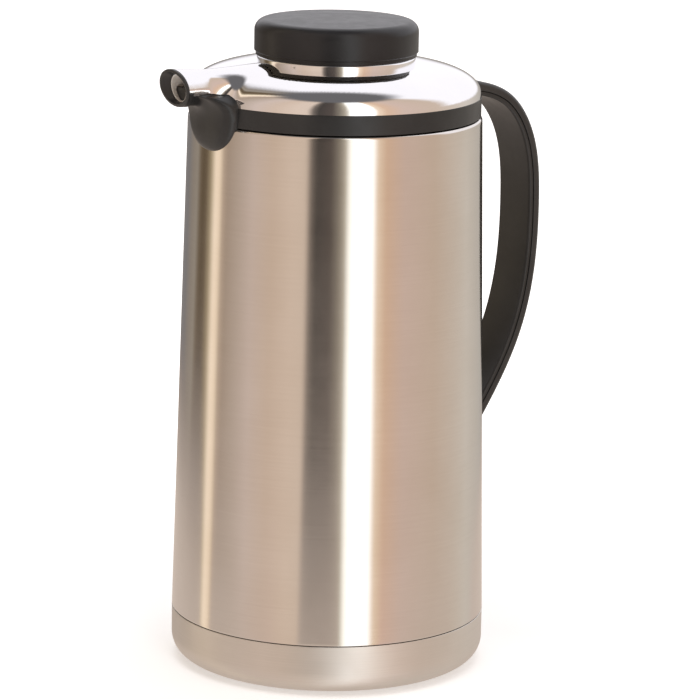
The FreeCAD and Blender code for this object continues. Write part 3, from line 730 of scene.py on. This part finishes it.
def tubeAlongSpout(name, stations):
    # rings of (distance, radius at angle, leaning, widening) joined into a closed tube
    steps = nozzle["steps"]
    side = np.array([1.0, 0, 0])
    up = -np.cross(side, spoutAlong)
    vertices = []
    for distance, radiusAt, leans, widen in stations:
        for k in range(steps):
            a = 2 * math.pi * k / steps
            out = side * math.cos(a) + up * math.sin(a)
            p = spoutFrom + spoutAlong * distance + out * radiusAt(a) + side * math.cos(a) * widen
            if leans:  # slid along the spout onto a plane that leans as the mouth does
                off = (p - (spoutTo + spoutAlong * (distance - spoutLength))) @ mouthNormal
                p = p - spoutAlong * float(off) / float(spoutAlong @ mouthNormal)
            vertices.append(p * mm)
    faces = []
    count = len(stations)
    for i in range(count):
        j = (i + 1) % count
        for k in range(steps):
            m = (k + 1) % steps
            faces.append((i * steps + k, i * steps + m, j * steps + m, j * steps + k))
    return tidyMesh(meshObject(name, vertices, faces), 40)


def underside(angle, edge=0.10, blend=0.22):
    # 1 below the hood's lower edges, 0 above them
    return min(1.0, max(0.0, (edge - math.sin(angle)) / blend))


def even(radius):
    # the same radius all the way round
    return lambda angle: radius


def makeSpout():
    n = nozzle
    end, lip, bore, bead = spoutLength, shoulder["mouthLip"], n["bore"], n["bead"]
    beadBack = end - n["beadLength"]

    def tube(angle):
        return n["slim"] + (n["tube"] - n["slim"]) * underside(angle)

    def halfBead(less):
        # full bead below the hood's edges, a slimmer tube inside the hood
        hidden = n["tube"] * n["tucked"]
        return lambda angle: hidden + (bead - hidden) * underside(angle) - less

    def flared(distance, radiusAt):
        return distance, radiusAt, True, float(mouthFlare(distance))

    def funnel(part):
        # opening that narrows from the mouth to the bore; part is 1 at the mouth
        return (end - n["funnelDepth"] * (1 - part), even(bore + n["funnelHigh"] * part), True,
                (n["funnelWide"] - n["funnelHigh"]) * part)

    stations = [(2.0, even(bore), False, 0.0)]
    stations += [(distance, tube, False, 0.0) for distance in (2.0, 20, 34)]
    stations += [(40, tube, False, float(mouthFlare(40)))]
    stations += [flared(beadBack - 1.2, tube), flared(beadBack - 0.2, halfBead(0.25)),
                 flared(beadBack + 0.6, halfBead(0)), flared(end - lip, halfBead(0)),
                 flared(end - lip + 0.02, even(bead - 0.1)), flared(end - lip + 0.2, even(bead)),
                 flared(end - 0.5, even(bead)), flared(end - 0.15, even(bead - 0.15)),
                 flared(end, even(bead - 0.42))]
    stations += [funnel(part) for part in (1.0, 0.94, 0.75, 0.5, 0.25, 0.06)]
    stations += [(end - n["funnelDepth"] - 0.4, even(bore), True, 0.0),
                 (end - 8, even(bore), True, 0.0), (end - 20, even(bore), False, 0.0)]
    thing = tubeAlongSpout("spoutTube", stations)
    finishPiece(thing, "satinBlack", "jug", "spout_liner")
    outside, within, back = even(bore - 0.03), even(bore - n["sleeveWall"]), end - n["sleeveBack"]
    sleeve = tubeAlongSpout("spoutSleeve", [
        (1.0, within, False, 0.0), (1.0, outside, False, 0.0), (30, outside, False, 0.0),
        (back - 0.2, outside, True, 0.0), (back, even(bore - 0.2), True, 0.0),
        (back - 0.1, within, True, 0.0), (30, within, False, 0.0)])
    finishPiece(sleeve, "sleeveGrey", "jug", "spout_sleeve")


makeShoulder()
makeCollar()
makeRing()
makeSpout()
print("shoulder, ring and spout made")


# the handle: an outer strap and the cover on its inner face, swept along one curve
handle = dict(
    width=25.0, thick=6.4, cover=2.2, gap=0.12, backRound=2.4, coverRound=1.2, seamRound=0.35,
    innerSeam=0.45, stations=220, tuck=0.3, topRun=0.25, footRun=0.28,
    spine=[(66.6, 266.6), (79.2, 264.0), (91.4, 258.1), (99.6, 249.0), (105.8, 235.0),
           (108.9, 207.0), (107.2, 174.0), (99.4, 143.3), (85.1, 115.9), (70.0, 93.0)])


def roundedSection(halfWidth, near, far, nearRound, farRound, steps=7, support=0.6):
    # closed outline in (across, inward) with its own rounding at the near and far edges
    outline = []
    corners = ((halfWidth, near, nearRound, -90), (halfWidth, far, farRound, 0),
               (-halfWidth, far, farRound, 90), (-halfWidth, near, nearRound, 180))
    for cx, cy, radius, start in corners:
        x = cx - math.copysign(radius, cx)
        y = cy + (radius if cy == near else -radius)
        for k in range(steps + 1):
            a = math.radians(start + 90 * k / steps)
            outline.append((x + radius * math.cos(a), y + radius * math.sin(a)))
    full = []
    for i, p in enumerate(outline):
        q = outline[(i + 1) % len(outline)]
        full.append(p)
        length = math.dist(p, q)
        if length > 2.5:
            full += [(p[0] + (q[0] - p[0]) * t, p[1] + (q[1] - p[1]) * t)
                     for t in (support / length, 0.5, 1 - support / length)]
    return full


def sweptStrap(name, section):
    h = handle
    knots = [np.array(knot) for knot in h["spine"]]
    first = knots[0] + (knots[0] - knots[1]) * h["topRun"]
    last = knots[-1] + (knots[-1] - knots[-2]) * h["footRun"]
    points, along = smoothCurve([first, *knots, last], h["stations"])
    vertices, faces = [], []
    for (y, z), (ty, tz) in zip(points, along):
        inward = np.array([tz, -ty])
        for across, depth in section:
            vertices.append((across, y + inward[0] * depth, z + inward[1] * depth))
    n, rings = len(section), len(points)
    for i in range(rings - 1):
        for k in range(n):
            m = (k + 1) % n
            faces.append((i * n + k, i * n + m, (i + 1) * n + m, (i + 1) * n + k))
    faces.append(tuple(range(n)))
    faces.append(tuple((rings - 1) * n + k for k in reversed(range(n))))
    fitted = []
    for x, y, z in vertices:
        # both ends stop just inside the skin
        wall = (bodyRadius(z) if z < bottle["topHeight"] else ring["radius"]) - h["tuck"]
        r = math.hypot(x, y)
        if r < wall:
            x, y = x * wall / r, y * wall / r
        fitted.append((x * mm, y * mm, z * mm))
    return tidyMesh(meshObject(name, fitted, faces), 40)


def makeHandle():
    h = handle
    split = h["thick"] - h["cover"]
    back = roundedSection(h["width"] / 2, 0, split - h["gap"] / 2, h["backRound"], h["seamRound"])
    shell = sweptStrap("handleShell", back)
    finishPiece(shell, "handleBlack", "jug", "handle_shell")
    inner = roundedSection(h["width"] / 2 - h["innerSeam"], split + h["gap"] / 2, h["thick"],
                           h["seamRound"], h["coverRound"])
    cover = sweptStrap("handleCover", inner)
    finishPiece(cover, "coverBlack", "jug", "handle_cover")


makeHandle()
print("handle made")


# the stopper's round cap
cap = dict(
    radius=37.2, bottom=281.4, top=298.0, crown=0.7, crownRound=60.0, edge=5.0,
    lipHeight=2.0, lipStep=0.7, lipSlope=0.3, wall=2.3, roof=3.0)


def makeCap():
    c = cap
    r, low, top, roof = c["radius"], c["bottom"], c["top"], c["top"] - c["roof"]
    lip, bore, lipTop = r - c["lipStep"], r - c["wall"], low + c["lipHeight"]
    thing = turnedPiece("stopperCap", "capBlack", [
        (0, top), (r * 0.45, top, c["crownRound"]), (r, top - c["crown"], c["edge"]),
        (r, lipTop, 0.35), (lip, lipTop - c["lipSlope"], 0.1), (lip, low, 0.35), (bore, low),
        (bore, roof, 3.0), (0, roof)], segments=288, arcSteps=12)
    thing.visible_glossy = False  # keeps the chrome round it bright
    finishPiece(thing, "capBlack", "stopper", "stopper_cap")


makeCap()
print("cap made")


# the floor, the light and the viewpoint
pale = dict(half=9, colour=(0.80, 0.80, 0.80), brightenFrom=(0.10, 0.50), glow=(0.36, 0.75))


def makeFloor():
    h = pale["half"]
    corners = [(-h, -h, 0), (h, -h, 0), (h, h, 0), (-h, h, 0)]
    floor = meshObject("paleFloor", corners, [(0, 1, 2, 3)])
    material = bpy.data.materials.new("paleFloor")
    material.use_nodes = True
    tree = material.node_tree
    tree.nodes.clear()
    matte = newNode(tree, "ShaderNodeBsdfDiffuse")
    matte.inputs["Color"].default_value = (*pale["colour"], 1)
    glow = newNode(tree, "ShaderNodeEmission")
    setInputs(glow, Color=(1, 1, 1, 1))
    # the floor brightens away from the object, so that it runs into the white behind
    away = newNode(tree, "ShaderNodeVectorMath", operation="LENGTH")
    tree.links.new(newNode(tree, "ShaderNodeTexCoord").outputs["Object"], away.inputs[0])
    brighten = rangeNode(tree, away.outputs["Value"], pale["brightenFrom"], pale["glow"],
                         "SMOOTHSTEP")
    tree.links.new(brighten, glow.inputs["Strength"])
    add = newNode(tree, "ShaderNodeAddShader")
    tree.links.new(matte.outputs[0], add.inputs[0])
    tree.links.new(glow.outputs[0], add.inputs[1])
    out = newNode(tree, "ShaderNodeOutputMaterial")
    tree.links.new(add.outputs[0], out.inputs[0])
    floor.data.materials.append(material)
    floor.visible_glossy = False  # the steel mirrors the studio's walls down to their foot


studio = dict(
    # (bearing in degrees from the spout's side, colour): the soft panels and dark gaps all round
    walls=[(-180, (0.68, 0.62, 0.55)), (-152, (0.54, 0.50, 0.45)), (-112, (0.24, 0.225, 0.22)),
           (-98, (0.22, 0.21, 0.21)), (-84, (0.30, 0.26, 0.22)), (-76, (0.34, 0.30, 0.25)),
           (-70, (0.18, 0.135, 0.09)), (-65, (0.13, 0.095, 0.058)), (-60, (0.17, 0.125, 0.08)),
           (-54, (0.42, 0.34, 0.22)), (-48, (1.12, 0.94, 0.74)), (-43, (1.05, 0.86, 0.66)),
           (-39, (0.55, 0.43, 0.33)), (-34, (0.44, 0.345, 0.27)), (-23, (0.53, 0.43, 0.355)),
           (-9, (0.67, 0.545, 0.475)), (8, (0.69, 0.54, 0.43)), (24, (0.76, 0.61, 0.50)),
           (34.5, (0.75, 0.61, 0.50)), (38.5, (0.20, 0.165, 0.14)), (43, (0.065, 0.056, 0.05)),
           (54, (0.10, 0.08, 0.07)), (60, (0.26, 0.225, 0.18)), (64.5, (0.50, 0.44, 0.35)),
           (68, (1.40, 1.38, 1.28)), (72, (1.65, 1.65, 1.65)), (86, (1.55, 1.55, 1.55)),
           (89.5, (0.95, 0.76, 0.58)), (97, (0.76, 0.53, 0.38)), (112, (0.69, 0.53, 0.45)),
           (140, (0.64, 0.51, 0.41)), (180, (0.68, 0.62, 0.55))],
    backPaper=(1.08, 1.06, 1.10), paperAbove=(0.0, 0.12),
    # (share of the way round, how much paper shows)
    paper=[(0.02, 1.0), (0.20, 1.0), (0.27, 0.0), (0.90, 0.0), (0.95, 1.0), (0.98, 1.0)],
    ceiling=(0.15, 0.145, 0.15), ceilingAbove=(0.86, 0.95), strength=1.0,
    tableLight=(0.66, 0.56, 0.49), tableBelow=(-0.187, -0.252))


def colourRamp(tree, place, interpolation, stops):
    ramp = newNode(tree, "ShaderNodeValToRGB")
    ramp.color_ramp.interpolation = interpolation
    marks = ramp.color_ramp.elements
    while len(marks) > 1:
        marks.remove(marks[-1])
    for i, (at, colour) in enumerate(stops):
        mark = marks[0] if i == 0 else marks.new(at)
        mark.position, mark.color = at, (*colour, 1)
    tree.links.new(place, ramp.inputs[0])
    return ramp.outputs[0]


def makeStudio():
    w = studio
    world = bpy.data.worlds.new("softStudio")
    bpy.context.scene.world = world
    world.use_nodes = True
    tree = world.node_tree
    tree.nodes.clear()
    link = tree.links.new
    parts = newNode(tree, "ShaderNodeSeparateXYZ")
    link(newNode(tree, "ShaderNodeTexCoord").outputs["Generated"], parts.inputs[0])
    height = parts.outputs["Z"]
    bearing = mathNode(tree, "ARCTAN2", parts.outputs["X"],
                       mathNode(tree, "MULTIPLY", parts.outputs["Y"], -1))
    turn = rangeNode(tree, bearing, (-math.pi, math.pi))
    walls = colourRamp(tree, turn, "LINEAR", [((deg + 180) / 360, c) for deg, c in w["walls"]])
    # light from the table top fills the dark gaps lower down
    table = mixNode(tree, rangeNode(tree, height, w["tableBelow"]), (0, 0, 0), w["tableLight"])
    filled = mixNode(tree, 1.0, walls, table, "LIGHTEN")
    # paper behind the object, above the table only
    paper = colourRamp(tree, turn, "EASE", [(at, (level,) * 3) for at, level in w["paper"]])
    above = rangeNode(tree, height, w["paperAbove"], interpolation="SMOOTHSTEP")
    paper = mathNode(tree, "MULTIPLY", paper, above)
    around = mixNode(tree, paper, filled, w["backPaper"])
    overhead = rangeNode(tree, height, w["ceilingAbove"], interpolation="SMOOTHSTEP")
    roofed = mixNode(tree, overhead, around, w["ceiling"])
    # seen by the camera itself the surroundings are plain white
    seen = newNode(tree, "ShaderNodeLightPath")
    sky = newNode(tree, "ShaderNodeBackground")
    sky.inputs["Strength"].default_value = w["strength"]
    link(mixNode(tree, seen.outputs["Is Camera Ray"], roofed, (1, 1, 1)), sky.inputs["Color"])
    out = newNode(tree, "ShaderNodeOutputWorld")
    link(sky.outputs[0], out.inputs["Surface"])


panel = dict(place=(0.3, -0.4, 2.2), target=(0, 0, 0.15), size=1.8, power=26.0)


def makePanel():
    light = bpy.data.lights.new("topPanel", "AREA")
    light.shape = "RECTANGLE"
    light.size = light.size_y = panel["size"]
    light.energy = panel["power"]
    lamp = bpy.data.objects.new("topPanel", light)
    bpy.context.scene.collection.objects.link(lamp)
    lamp.location = panel["place"]
    aim = Vector(panel["target"]) - Vector(panel["place"])
    lamp.rotation_euler = aim.to_track_quat("-Z", "Y").to_euler()
    lamp.visible_glossy = False


camera = dict(
    distance=1.729, height=0.530, bearing=56.0, pitch=0.2193, yaw=-0.005, roll=0.0183,
    lens=198.2, sensor=36.0, clip=(0.05, 60.0))


def makeCamera():
    c = camera
    forward = Vector((0, math.cos(c["pitch"]), -math.sin(c["pitch"])))
    forward = Matrix.Rotation(c["yaw"], 3, "Z") @ forward
    right = Matrix.Rotation(c["yaw"], 3, "Z") @ Vector((1, 0, 0))
    up = right.cross(forward)
    tilted = right * math.cos(c["roll"]) + up * math.sin(c["roll"])
    upright = up * math.cos(c["roll"]) - right * math.sin(c["roll"])
    angle = math.radians(c["bearing"])
    swing = Matrix.Rotation(angle, 3, "Z")
    place = Matrix((swing @ tilted, swing @ upright, -(swing @ forward))).transposed().to_4x4()
    away = c["distance"]
    place.translation = (away * math.sin(angle), -away * math.cos(angle), c["height"])
    data = bpy.data.cameras.new("viewpoint")
    data.lens, data.sensor_width = c["lens"], c["sensor"]
    data.clip_start, data.clip_end = c["clip"]
    thing = bpy.data.objects.new("viewpoint", data)
    bpy.context.scene.collection.objects.link(thing)
    thing.matrix_world = place
    bpy.context.scene.camera = thing


makeFloor()
makeStudio()
makePanel()
makeCamera()
bpy.context.scene.view_settings.view_transform = "Standard"
print("studio made")

bpy.context.view_layer.update()
